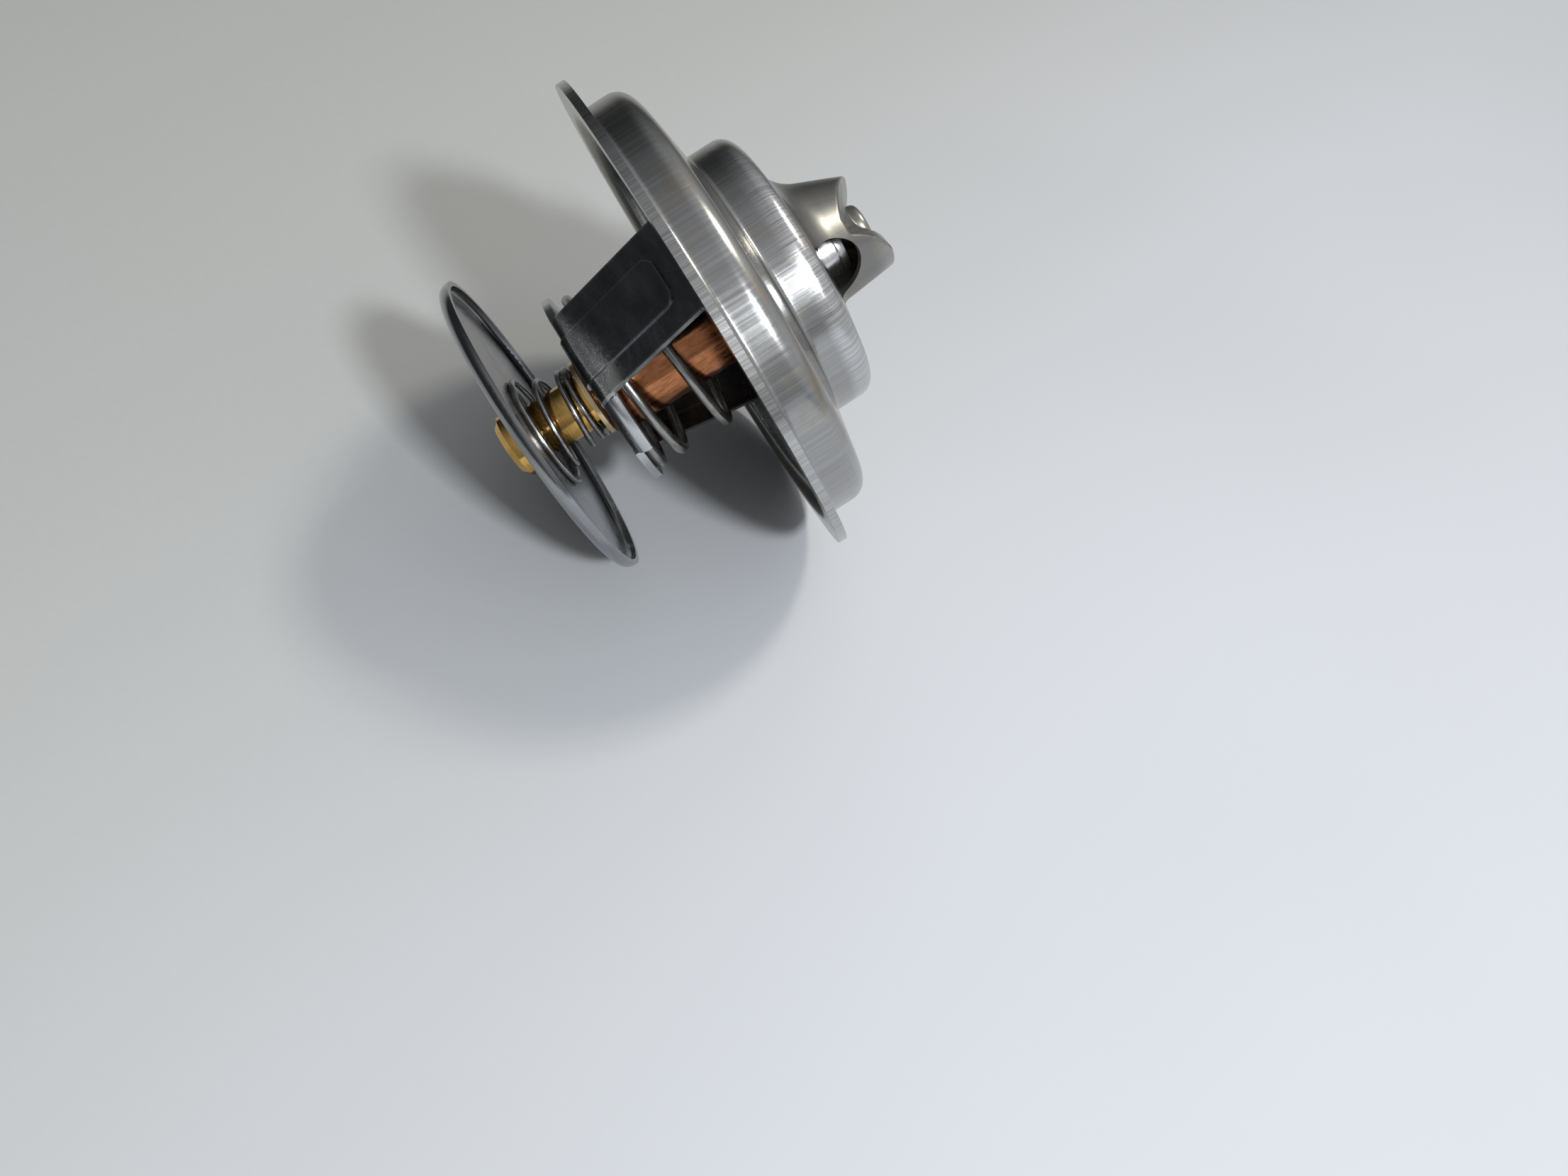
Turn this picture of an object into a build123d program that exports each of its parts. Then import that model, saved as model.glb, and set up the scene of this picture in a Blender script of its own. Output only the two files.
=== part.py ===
from build123d import *
import math
import os

os.makedirs("parts", exist_ok=True)

# An engine coolant valve with a wax element, in millimetres.  +Z runs from the spring side to
# the bridge, the origin is the centre of the flange's lower face, and the frame's legs stand
# at -Y and +Y.  Driving dimensions come first; the pieces below are worked out from them.

# Dome stamping: flange, two drums, neck and bridge, drawn from one sheet
dome_sheet = 1.1
flange_r = 33.5
drum_1_r = 29.6
drum_1_h = 6.7
drum_2_r = 18.6
drum_2_h = 14.75
shoulder_rise = 0.205
draw_r = 0.8
drum_1_corner_r = 2.6
drum_2_corner_r = 2.2
seat_hole_r = 12.6
boss_r = 2.9
boss_h = 24.95
boss_corner_r = 1.0

# Bridge, before it is turned on the dome.  Each side of the strap is a line of (across, along)
# points; along runs from the leg at -Y to the leg at +Y, whose near side is cut back further
bridge_angle = -25.0
neck_fillet_r = 6.0
bridge_tip_r = 6.4
bridge_tip_h = 25.7
bridge_taper = 0.413
strap_near_side = [(8.7, -12.8), (6.9, -8.0), (4.3, -6.2), (4.4, 4.4), (1.0, 9.0), (-1.4, 12.8)]
strap_far_side = [(-8.7, -12.8), (-6.9, -8.0), (-4.3, -6.2), (-4.3, 4.8), (-6.9, 8.0), (-8.7, 12.8)]
strap_corner_r = 1.2
strap_half = 4.3
roof_h = 23.9
near_crest = (25.8, 1.1, 0.103)
far_crest = (25.7, -4.8, 0.045)
crest_end = 6.2
roof_grid = 1.0

# Wax element and its piston
piston_r = 1.8
piston_bottom_h = 3.0
piston_top_h = 23.85
nose_r = 3.8
nose_top_h = 20.9
nose_groove_h = 19.5
nose_groove = 0.3
cup_r = 6.2
cup_wall = 0.6
cup_floor = 1.0
cup_bottom_h = -16.9
cup_flange_r = 8.6
cup_flange_h = 12.6
crimp_h = 16.1
cup_corner_r = 1.2
nipple_length = 4.0
crimp_turn = 1.2
wax_top_h = -0.4
diaphragm = 1.4
pad_thickness = 0.8
spigot_step = 0.5
cap_roof = 0.6
cap_corner_r = 0.4
piston_chamfer = 0.3

# Main valve: dished plate with a moulded rubber ring
plate_sheet = 0.8
plate_r = 15.0
plate_rise = 0.6
seal_r = 15.6
seal_skin = 0.4
seal_overlap = 1.2
seal_bead_half = 0.6
plate_bend_r = 0.5

# Spring frame: tray, two leaning legs and their feet
frame_sheet = 1.0
tray_r = 13.4
tray_bottom_h = -15.87
leg_half_width = 6.0
leg_reach = 21.5
leg_lean = 0.52
leg_bend_r = 2.2
foot_end = 26.6
panel_half_width = 3.2
panel_top_h = -1.8
panel_raise = 0.35
lip_r = 14.0
lip_top_h = -13.6
lip_bend_r = 1.8
lip_span = 35.0

# Springs
main_wire = 1.45
main_coil_r = 11.87
main_turns = 5.5
main_start = -120.0
main_closed = 0.3
main_ramp = 1.2
bypass_wire = 0.8
bypass_top_r = 4.9
bypass_foot_r = 8.8
bypass_turns = 4.3
bypass_closed = 1.4
bypass_foot_closed = 0.7
bypass_ramp = 0.6
closed_pitch = 1.06

# Bypass valve: stem, washer and sliding pan
stem_r = 3.65
stem_head_r = 4.4
stem_chamfer = 0.8
stem_end_h = -30.0
washer_r = 5.3
washer_thickness = 0.6
pan_sheet = 0.7
pan_r = 21.5
pan_top_h = -24.1
pan_bottom_h = -25.95
pan_corner_r = 1.4

# Clearances
running = 0.05
contact = 0.02
frame_clearance = 0.35
seat_clearance = 0.3
coil_clearance = 0.2

plate_top_h = cup_flange_h + plate_rise
tray_top_h = tray_bottom_h + frame_sheet
cup_wall_bend = cup_wall + 0.2
spigot_r = nose_r - spigot_step
nipple_r = stem_r / 2


def turned(outline):
    """A solid of revolution from a closed outline of (radius, height)."""
    return revolve(Plane.XZ * outline, Axis.Z)


def ring(inner_r, outer_r, bottom_h, top_h):
    """A plain ring, or a disc when inner_r is 0."""
    outline = Polyline((inner_r, bottom_h), (outer_r, bottom_h), (outer_r, top_h),
                       (inner_r, top_h), close=True)
    return turned(make_face(outline))


def sheet_outline(points, radii, thickness, side):
    """The cut section of a bent sheet: one skin through the points, the other offset from it."""
    skin = FilletPolyline(*points, radius=radii)
    return make_face(Wire(skin.edges()).offset_2d(thickness, side=side, closed=True))


def shoulder_h(radius, wall_r, wall_h):
    """Height of a drum's sloping shoulder, which rises inwards from its wall."""
    return wall_h + shoulder_rise * (wall_r - radius)


def meeting_r():
    """Radius at which the upper drum's shoulder line crosses the bridge's tapering wall."""
    rise = bridge_tip_h - drum_2_h - shoulder_rise * drum_2_r
    return (bridge_tip_r + bridge_taper * rise) / (1 - bridge_taper * shoulder_rise)


def bridge_window(side, outward):
    """Space punched away beside the strap, inside the seat's hole."""
    low_h = drum_2_h - 1.0
    edge = FilletPolyline(*side, radius=strap_corner_r)
    out_x = outward * drum_2_r
    around = Polyline(side[-1], (out_x, side[-1][1]), (out_x, side[0][1]), side[0])
    punch = extrude(make_face(Wire(edge.edges() + around.edges())), amount=bridge_tip_h + 2)
    return punch & ring(0, seat_hole_r, low_h, bridge_tip_h + 1)


def roof_top_h(across, along):
    """Height of the strap's roof: low in the middle, each edge drooping towards one leg."""
    along = min(crest_end, max(-crest_end, along))
    share = min(1.0, max(-1.0, across / strap_half))
    near_h = near_crest[0] - near_crest[2] * max(0.0, near_crest[1] - along) ** 2
    far_h = far_crest[0] - far_crest[2] * max(0.0, along - far_crest[1]) ** 2
    swell = (near_h + far_h) / 2 - roof_h
    return roof_h + share * share * swell + share * (near_h - far_h) / 2


def roof_skin():
    """Upper skin of the strap's roof, wide enough to trim the whole neck."""
    count = math.ceil(seat_hole_r / roof_grid)
    marks = [k * roof_grid for k in range(-count, count + 1)]
    rows = [[(across, along, roof_top_h(across, along)) for across in marks] for along in marks]
    return Face.make_surface_from_array_of_points(rows)


def dome_flange():
    """Flange, drums, neck and bridge: one deep-drawn sheet with a window each side."""
    flange_top_h = dome_sheet
    neck_r = meeting_r()
    points = [(flange_r, flange_top_h), (drum_1_r, flange_top_h), (drum_1_r, drum_1_h),
              (drum_2_r, shoulder_h(drum_2_r, drum_1_r, drum_1_h)), (drum_2_r, drum_2_h),
              (neck_r, shoulder_h(neck_r, drum_2_r, drum_2_h)), (bridge_tip_r, bridge_tip_h)]
    radii = [draw_r, drum_1_corner_r, draw_r, drum_2_corner_r, neck_fillet_r]
    shell = turned(sheet_outline(points, radii, dome_sheet, Side.LEFT))
    skin = roof_skin()
    wall_r = bridge_tip_r - dome_sheet / 2
    core = Polyline((0, drum_2_h), (neck_r, drum_2_h), (wall_r, bridge_tip_h), (0, bridge_tip_h),
                    close=True)
    roof = extrude(skin, amount=dome_sheet, dir=(0, 0, -1)) & turned(make_face(core))
    boss = ring(0, boss_r, roof_h - dome_sheet, boss_h)
    boss = fillet(boss.edges().group_by(Axis.Z)[-1], boss_corner_r)
    stamping = shell - extrude(skin, amount=boss_h, dir=(0, 0, 1)) + roof + boss
    stamping -= ring(0, piston_r + running, roof_h - 2 * dome_sheet, piston_top_h + contact)
    stamping -= bridge_window(strap_near_side, 1)
    stamping -= bridge_window(strap_far_side, -1)
    return Rot(0, 0, bridge_angle) * stamping


def frame_leg():
    """One leg with its bend into the tray, raised panel and foot under the dome's shoulder."""
    dome_inside_h = drum_1_h - dome_sheet * math.hypot(1, shoulder_rise)
    foot_r = math.hypot(foot_end, leg_half_width)
    foot_top_h = shoulder_h(foot_r, drum_1_r, dome_inside_h) - 2 * contact
    foot_h = foot_top_h - frame_sheet * math.hypot(1, shoulder_rise)
    knee_h = (foot_h + shoulder_rise * (foot_end - leg_reach)) / (1 + shoulder_rise * leg_lean)
    points = [(0, tray_bottom_h), (leg_reach + leg_lean * tray_bottom_h, tray_bottom_h),
              (leg_reach + leg_lean * knee_h, knee_h), (foot_end, foot_h)]
    strip = sheet_outline(points, [leg_bend_r, draw_r], frame_sheet, Side.LEFT)
    leg = extrude(Plane.YZ * strip, amount=leg_half_width, both=True)
    raised = sheet_outline(points, [leg_bend_r, draw_r], panel_raise, Side.RIGHT)
    panel = extrude(Plane.YZ * raised, amount=panel_half_width, both=True)
    panel_length = panel_top_h - tray_bottom_h
    outline = RectangleRounded(2 * panel_half_width, 2 * panel_length, panel_half_width / 2)
    stamp = extrude(Plane.XZ * Pos(0, tray_bottom_h) * outline, amount=-foot_end)
    bend_start = leg_reach + leg_lean * tray_bottom_h - leg_bend_r
    stamp &= Pos(0, foot_end, 0) * Box(foot_end, 2 * (foot_end - bend_start), foot_end * 2)
    return leg + (panel & stamp)


def lip(outline):
    """A stretch of the tray's edge beside the leg, swept round the axis."""
    start = -90 + math.degrees(math.asin(leg_half_width / tray_r)) - 1
    piece = revolve(Plane.XZ * outline, Axis.Z, revolution_arc=lip_span)
    return Rot(0, 0, start) * piece


def lower_frame():
    """Spring frame: a round tray with two legs and a turned-up lip beside each leg."""
    hole_r = cup_r + frame_clearance
    tray = ring(hole_r, tray_r, tray_bottom_h, tray_top_h)
    bend_angle = math.pi / 2 - math.atan(leg_lean)
    bend_start = leg_reach + leg_lean * tray_bottom_h - leg_bend_r * math.tan(bend_angle / 2)
    lip_start_r = lip_r - lip_bend_r
    edge = Polyline((lip_start_r, tray_bottom_h - 1), (lip_r, tray_bottom_h - 1),
                    (lip_r, tray_top_h + 1), (lip_start_r, tray_top_h + 1), close=True)
    rim = sheet_outline([(lip_start_r - 1, tray_bottom_h), (lip_r, tray_bottom_h), (lip_r, lip_top_h)],
                        [lip_bend_r], frame_sheet, Side.LEFT)
    slot = Pos(0, bend_start + tray_r / 2, tray_bottom_h) * Box(2 * leg_half_width, tray_r, 4)
    half = frame_leg() - ring(0, hole_r, tray_bottom_h - 1, tray_top_h + 1)
    half -= Pos(0, -tray_r, tray_bottom_h) * Box(4 * tray_r, 2 * tray_r, 4)
    for turn in (0, 180):
        tray -= Rot(0, 0, turn) * slot
        tray -= Rot(0, 0, turn) * lip(make_face(edge))
    for turn in (0, 180):
        tray += Rot(0, 0, turn) * half
        tray += Rot(0, 0, turn) * lip(rim)
    return tray


def piston():
    """Ground steel pin: its top stands in the bridge's boss."""
    rod = ring(0, piston_r, piston_bottom_h, piston_top_h)
    return chamfer(rod.edges().filter_by(GeomType.CIRCLE), piston_chamfer)


def valve_plate():
    """Dished steel plate that the main spring pushes up."""
    inner_r = cup_r + running
    dish_r = main_coil_r - main_wire / 2 - coil_clearance
    points = [(plate_r, plate_top_h), (dish_r, plate_top_h), (dish_r - 1, cup_flange_h),
              (inner_r, cup_flange_h)]
    return turned(sheet_outline(points, [plate_bend_r, plate_bend_r], plate_sheet, Side.LEFT))


def valve_seal():
    """Rubber ring moulded round the plate's edge, with a bead that meets the dome's seat."""
    plate_bottom_h = plate_top_h - plate_sheet
    skin_bottom_h = plate_bottom_h - seal_skin
    bead_r = (seat_hole_r + drum_2_r - dome_sheet) / 2 - seal_bead_half
    seat_h = shoulder_h(bead_r, drum_2_r, drum_2_h) - dome_sheet * math.hypot(1, shoulder_rise)
    bead_h = seat_h - seat_clearance
    inner_r = plate_r + running
    outline = Polyline((inner_r, skin_bottom_h), (seal_r, skin_bottom_h),
                       (seal_r, plate_top_h + seal_skin), (bead_r, bead_h),
                       (bead_r - 2 * seal_bead_half, plate_top_h), (inner_r, plate_top_h), close=True)
    under = ring(plate_r - seal_overlap, seal_r, skin_bottom_h, plate_bottom_h)
    return turned(make_face(outline)) + under


def capsule_cup():
    """Copper cup with a crimped flange, and a nipple that holds the bypass stem."""
    flange_top_h = cup_flange_h + cup_wall_bend
    crimp_bottom_h = crimp_h - cup_wall_bend
    rim_r = cup_flange_r - cup_wall_bend
    body = ring(0, cup_r, cup_bottom_h, flange_top_h)
    body = fillet(body.edges().group_by(Axis.Z)[0], cup_corner_r)
    body += ring(0, cup_flange_r, cup_flange_h, crimp_h)
    body -= ring(0, cup_r - cup_wall, cup_bottom_h + cup_floor, crimp_h + 1)
    body -= ring(0, rim_r, flange_top_h, crimp_bottom_h)
    body -= ring(0, rim_r - crimp_turn, flange_top_h, crimp_h + 1)
    return body + ring(0, nipple_r, cup_bottom_h - nipple_length, cup_bottom_h + cup_floor / 2)


def guide_nose():
    """Turned guide: its flange is crimped in the cup, its nose guides the piston."""
    rim_r = cup_flange_r - cup_wall_bend - running
    wiper_h = nose_groove_h - nose_groove / 2
    rim_bottom_h = cup_flange_h + cup_wall_bend + contact
    body = ring(0, cup_r - cup_wall - running, wax_top_h + diaphragm + contact, rim_bottom_h)
    body += ring(0, rim_r, rim_bottom_h, crimp_h - cup_wall_bend - contact)
    body += ring(0, rim_r - crimp_turn - running, rim_bottom_h, crimp_h)
    body += ring(0, nose_r, crimp_h, wiper_h)
    body += ring(0, spigot_r, crimp_h, nose_top_h - cap_roof - contact)
    body -= ring(0, piston_r + running, wax_top_h, nose_top_h)
    return body - ring(0, spigot_r - spigot_step, wiper_h, nose_top_h)


def nose_cap():
    """Cap pressed on the nose's spigot, over the wiper."""
    body = ring(0, nose_r, nose_groove_h + nose_groove / 2, nose_top_h)
    body -= ring(0, spigot_r + contact, nose_groove_h, nose_top_h - cap_roof)
    body -= ring(0, piston_r + frame_clearance, nose_groove_h, nose_top_h + 1)
    return fillet(body.edges().group_by(Axis.Z)[-1].sort_by(SortBy.LENGTH)[-1], cap_corner_r)


def piston_wiper():
    """Rubber ring that wipes the piston at the nose."""
    bottom_h = nose_groove_h - nose_groove / 2 + contact
    top_h = nose_top_h - cap_roof - contact
    return ring(piston_r + running, spigot_r - spigot_step - contact, bottom_h, top_h)


def diaphragm_plug():
    """Rubber disc over the wax, with a plug that lifts the piston."""
    disc = ring(0, cup_r - cup_wall - running, wax_top_h + contact, wax_top_h + diaphragm)
    plug_top_h = piston_bottom_h - pad_thickness - 2 * contact
    return disc + ring(0, piston_r - contact, wax_top_h + contact, plug_top_h)


def piston_pad():
    """Hard plastic pad between the plug and the piston."""
    bottom_h = piston_bottom_h - pad_thickness
    return ring(0, piston_r - contact, bottom_h, piston_bottom_h - contact)


def wax_charge():
    """Wax that fills the cup under the diaphragm."""
    return ring(0, cup_r - cup_wall - running, cup_bottom_h + cup_floor + contact, wax_top_h)


def bypass_stem():
    """Brass stem on the cup's nipple, with a head that keeps the pan on."""
    head_top_h = pan_bottom_h - contact
    stem = ring(0, stem_r, stem_end_h, cup_bottom_h - contact)
    head = ring(0, stem_head_r, stem_end_h, head_top_h)
    head = chamfer(head.edges().group_by(Axis.Z)[0], stem_chamfer)
    stem &= ring(0, stem_r, stem_end_h + stem_chamfer, cup_bottom_h)
    socket_end_h = cup_bottom_h - nipple_length - contact
    return stem + head - ring(0, nipple_r + contact, socket_end_h, cup_bottom_h)


def spring_washer():
    """Washer between the cup's floor and the bypass spring."""
    top_h = cup_bottom_h - contact
    return ring(stem_r + running, washer_r, top_h - washer_thickness, top_h)


def bypass_pan():
    """Shallow steel pan that closes the bypass port; it slides on the stem."""
    points = [(stem_r + running + 0.02, pan_bottom_h), (pan_r, pan_bottom_h), (pan_r, pan_top_h)]
    return turned(sheet_outline(points, [pan_corner_r], pan_sheet, Side.LEFT))


def climb(turn, start, ramp, pitch):
    """Height gained when the pitch grows evenly from nothing over the ramp, then stays."""
    run = turn - start
    if run <= 0:
        return 0
    if run < ramp:
        return pitch * run * run / (2 * ramp)
    return pitch * (run - ramp / 2)


def coil(wire, turns, start_angle, radius_at, height_at):
    """Round wire swept along a coil whose radius and height are given at each turn."""
    points = []
    steps = round(turns * 12)
    for step in range(steps + 1):
        turn = turns * step / steps
        angle = math.radians(start_angle + 360 * turn)
        radius = radius_at(turn)
        points.append((radius * math.cos(angle), radius * math.sin(angle), height_at(turn)))
    path = Spline(*points)
    section = Plane(origin=path @ 0, z_dir=path % 0) * Circle(wire / 2)
    return sweep(section, path=path)


def main_spring():
    """Compression spring from the tray to the valve plate, with closed ends."""
    foot_h = tray_top_h + main_wire / 2 + contact
    rise = plate_top_h - plate_sheet - main_wire / 2 - contact - foot_h
    pitch = rise / (main_turns - 2 * main_closed - main_ramp)
    slow = main_turns - main_closed - main_ramp

    def height_at(turn):
        gained = climb(turn, main_closed, main_ramp, pitch)
        return foot_h + gained - climb(turn, slow, main_ramp, pitch)

    return coil(main_wire, main_turns, main_start, lambda turn: main_coil_r, height_at)


def bypass_spring():
    """Tapering spring from the washer to the pan, closed at both ends."""
    top_h = cup_bottom_h - 2 * contact - washer_thickness - bypass_wire / 2
    foot_h = pan_bottom_h + pan_sheet + contact + bypass_wire / 2
    slow_pitch = bypass_wire * closed_pitch
    last = bypass_turns - bypass_foot_closed
    pitch = (top_h - foot_h - slow_pitch * last) / (last - bypass_closed - bypass_ramp)

    def height_at(turn):
        gained = climb(turn, bypass_closed, bypass_ramp, pitch)
        slowed = climb(turn, last - bypass_ramp, bypass_ramp, pitch)
        return top_h - slow_pitch * min(turn, last) - gained + slowed

    def radius_at(turn):
        spread = max(0.0, (turn - bypass_closed) / (bypass_turns - bypass_closed))
        return bypass_top_r + (bypass_foot_r - bypass_top_r) * spread ** 2

    return coil(bypass_wire, bypass_turns, 0, radius_at, height_at)


pieces = [dome_flange, lower_frame, piston, valve_plate, valve_seal, capsule_cup, guide_nose,
          nose_cap, piston_wiper, diaphragm_plug, piston_pad, wax_charge, bypass_stem,
          spring_washer, bypass_pan, main_spring, bypass_spring]

for piece in pieces:
    export_step(piece(), f"parts/{piece.__name__}.step")
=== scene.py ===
import bpy
import math
import numpy as np
from mathutils import Matrix, Vector


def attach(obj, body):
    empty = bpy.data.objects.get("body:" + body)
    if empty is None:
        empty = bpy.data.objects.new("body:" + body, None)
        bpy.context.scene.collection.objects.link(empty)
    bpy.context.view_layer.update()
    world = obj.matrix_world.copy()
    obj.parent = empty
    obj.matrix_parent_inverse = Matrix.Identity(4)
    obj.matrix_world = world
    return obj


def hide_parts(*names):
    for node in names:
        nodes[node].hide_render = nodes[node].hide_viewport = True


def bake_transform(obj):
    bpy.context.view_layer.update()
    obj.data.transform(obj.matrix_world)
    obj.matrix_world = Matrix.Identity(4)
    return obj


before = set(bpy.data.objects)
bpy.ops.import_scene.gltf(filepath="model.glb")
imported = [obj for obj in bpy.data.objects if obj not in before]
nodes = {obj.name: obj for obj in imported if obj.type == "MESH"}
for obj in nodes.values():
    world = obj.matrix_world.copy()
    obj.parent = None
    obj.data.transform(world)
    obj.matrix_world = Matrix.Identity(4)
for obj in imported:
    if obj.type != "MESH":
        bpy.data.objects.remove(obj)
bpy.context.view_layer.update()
scene = bpy.context.scene
scene.view_settings.view_transform = "Standard"

# ---------------------------------------------------------------- viewpoint
# The valve lies on its side.  Toward is the level direction from its axis to the viewer, and
# beside is the level direction across the view.
toward = Vector((math.sin(math.radians(20)), -math.cos(math.radians(20)), 0))
beside = Vector((-math.cos(math.radians(20)), -math.sin(math.radians(20)), 0))
axis = Vector((0, 0, 1))
view_right = (0.8448 * axis + 0.0995 * toward - 0.5257 * beside).normalized()
view_up = (0.5346 * axis - 0.2000 * toward + 0.8212 * beside).normalized()
view_back = view_right.cross(view_up).normalized()
view_from = 0.15586 * toward - 0.00577 * axis

camera_data = bpy.data.cameras.new("camera")
camera_data.lens = 26.61
camera_data.sensor_width = 36
camera_data.clip_start = 0.005
camera = bpy.data.objects.new("camera", camera_data)
scene.collection.objects.link(camera)
turned = Matrix((view_right, view_up, view_back)).transposed().to_4x4()
camera.matrix_world = Matrix.Translation(view_from) @ turned
scene.camera = camera

# ---------------------------------------------------------------- paper floor
# The valve rests on a sheet of pale paper, on the flange's rim and the small pan's rim.  The
# plane touches both circles, and it is only seen from the side that the valve lies on.
lean = math.radians(25.75)
roll = math.radians(43)
flange_radius = 0.0335
paper_gap = 0.00002
level_out = math.cos(roll) * toward + math.sin(roll) * beside
floor_normal = (math.sin(lean) * axis + math.cos(lean) * level_out).normalized()
floor_depth = -flange_radius * math.cos(lean) - paper_gap
floor_x = (view_right - view_right.dot(floor_normal) * floor_normal).normalized()
floor_y = floor_normal.cross(floor_x)


def put(tree, kind, sockets=None, **settings):
    """Adds a node; a socket given as a value is set, and one given as an output is linked."""
    node = tree.nodes.new(kind)
    for key, value in settings.items():
        setattr(node, key, value)
    for key, value in (sockets or {}).items():
        if isinstance(value, bpy.types.NodeSocket):
            tree.links.new(value, node.inputs[key])
        else:
            node.inputs[key].default_value = value
    return node


def new_material(name):
    """An empty node material and its output node."""
    material = bpy.data.materials.new(name)
    material.use_nodes = True
    material.node_tree.nodes.clear()
    return material, material.node_tree, material.node_tree.nodes.new("ShaderNodeOutputMaterial")


def mix(tree, share, first, second):
    """Colour mix: first where the share is 0, second where it is 1."""
    node = put(tree, "ShaderNodeMix", {"Factor": share}, data_type="RGBA")
    for socket, value in ((6, first), (7, second)):
        if isinstance(value, bpy.types.NodeSocket):
            tree.links.new(value, node.inputs[socket])
        else:
            node.inputs[socket].default_value = value
    return node.outputs[2]


def math_node(tree, operation, first, second=0.0):
    """One Math node."""
    return put(tree, "ShaderNodeMath", {0: first, 1: second}, operation=operation).outputs[0]


def smooth(tree, value, low, high, to_low=0.0, to_high=1.0):
    """Smooth step of a value from low to high."""
    node = put(tree, "ShaderNodeMapRange", {"Value": value, "From Min": low, "From Max": high,
               "To Min": to_low, "To Max": to_high}, interpolation_type="SMOOTHSTEP")
    return node.outputs[0]


reach = 1.6
corners = [floor_normal * floor_depth + floor_x * a * reach + floor_y * b * reach
           for a, b in ((-1, -1), (1, -1), (1, 1), (-1, 1))]
floor_mesh = bpy.data.meshes.new("paper")
floor_mesh.from_pydata([tuple(p) for p in corners], [], [(0, 1, 2, 3)])
floor = bpy.data.objects.new("paper", floor_mesh)
scene.collection.objects.link(floor)
paper, tree, out = new_material("paper")
place = put(tree, "ShaderNodeTexCoord").outputs["Object"]
across = put(tree, "ShaderNodeVectorMath",
             {0: place, 1: tuple(view_right * 0.8 - view_up * 0.6)},
             operation="DOT_PRODUCT").outputs["Value"]
fibre = put(tree, "ShaderNodeTexNoise",
            {"Vector": place, "Scale": 900.0, "Detail": 4.0}).outputs["Fac"]
cloud = put(tree, "ShaderNodeTexNoise",
            {"Vector": place, "Scale": 9.0, "Detail": 2.0}).outputs["Fac"]
# Painted shade and light: the paper is painted darker and warmer toward the upper left of the view,
# and lighter and bluer toward the lower right.
painted_shade_grey, painted_light_grey = (0.475, 0.480, 0.460, 1), (0.575, 0.592, 0.630, 1)
cloud_grey, fibre_grey = (0.47, 0.49, 0.50, 1), (0.58, 0.59, 0.59, 1)
tone = mix(tree, smooth(tree, across, -0.09, 0.09), painted_shade_grey, painted_light_grey)
tone = mix(tree, smooth(tree, cloud, 0.3, 0.75, 0.0, 0.25), tone, cloud_grey)
tone = mix(tree, smooth(tree, fibre, 0.3, 0.8, 0.0, 0.10), tone, fibre_grey)
bump = put(tree, "ShaderNodeBump",
           {"Height": fibre, "Strength": 0.15, "Distance": 0.00005}).outputs[0]
surface = put(tree, "ShaderNodeBsdfPrincipled",
              {"Base Color": tone, "Roughness": 0.85, "Normal": bump})
clear = put(tree, "ShaderNodeBsdfTransparent")
behind = put(tree, "ShaderNodeNewGeometry").outputs["Backfacing"]
either = put(tree, "ShaderNodeMixShader", {0: behind, 1: surface.outputs[0], 2: clear.outputs[0]})
tree.links.new(either.outputs[0], out.inputs["Surface"])
floor_mesh.materials.append(paper)

# ---------------------------------------------------------------- light
# A cool lamp close to the viewer, a warmer one above and to the right, and a dim room that is
# brighter on the right.
world = bpy.data.worlds.new("room")
scene.world = world
world.use_nodes = True
tree = world.node_tree
tree.nodes.clear()
way = put(tree, "ShaderNodeTexCoord").outputs["Generated"]
bright_way = tuple((0.75 * view_right + 0.35 * view_up + 0.55 * view_back).normalized())
facing = put(tree, "ShaderNodeVectorMath", {0: way, 1: bright_way},
             operation="DOT_PRODUCT").outputs["Value"]
dim_side, bright_side, room_strength = (0.06, 0.063, 0.066, 1), (1.0, 1.02, 1.06, 1), 0.62
glow = mix(tree, smooth(tree, facing, -0.2, 0.98), dim_side, bright_side)
room = put(tree, "ShaderNodeBackground", {"Color": glow, "Strength": room_strength})
out = tree.nodes.new("ShaderNodeOutputWorld")
tree.links.new(room.outputs[0], out.inputs["Surface"])


def lamp(name, way, distance, size, power, colour):
    """A square area lamp that looks at the valve from the given direction."""
    data = bpy.data.lights.new(name, "AREA")
    data.shape = "SQUARE"
    data.size = size
    data.energy = power
    data.color = colour
    thing = bpy.data.objects.new(name, data)
    scene.collection.objects.link(thing)
    back = way.normalized()
    side = axis.cross(back).normalized()
    turned = Matrix((side, back.cross(side), back)).transposed().to_4x4()
    thing.matrix_world = Matrix.Translation(back * distance) @ turned


lamp("near_light", 0.45 * view_right - 0.15 * view_up + 0.88 * view_back,
     distance=0.50, size=0.055, power=1.85, colour=(0.91, 0.95, 1.0))
lamp("ceiling_light", 0.55 * view_right + 0.70 * view_up + 0.46 * view_back,
     distance=0.70, size=0.11, power=1.65, colour=(1.0, 0.95, 0.83))

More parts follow.
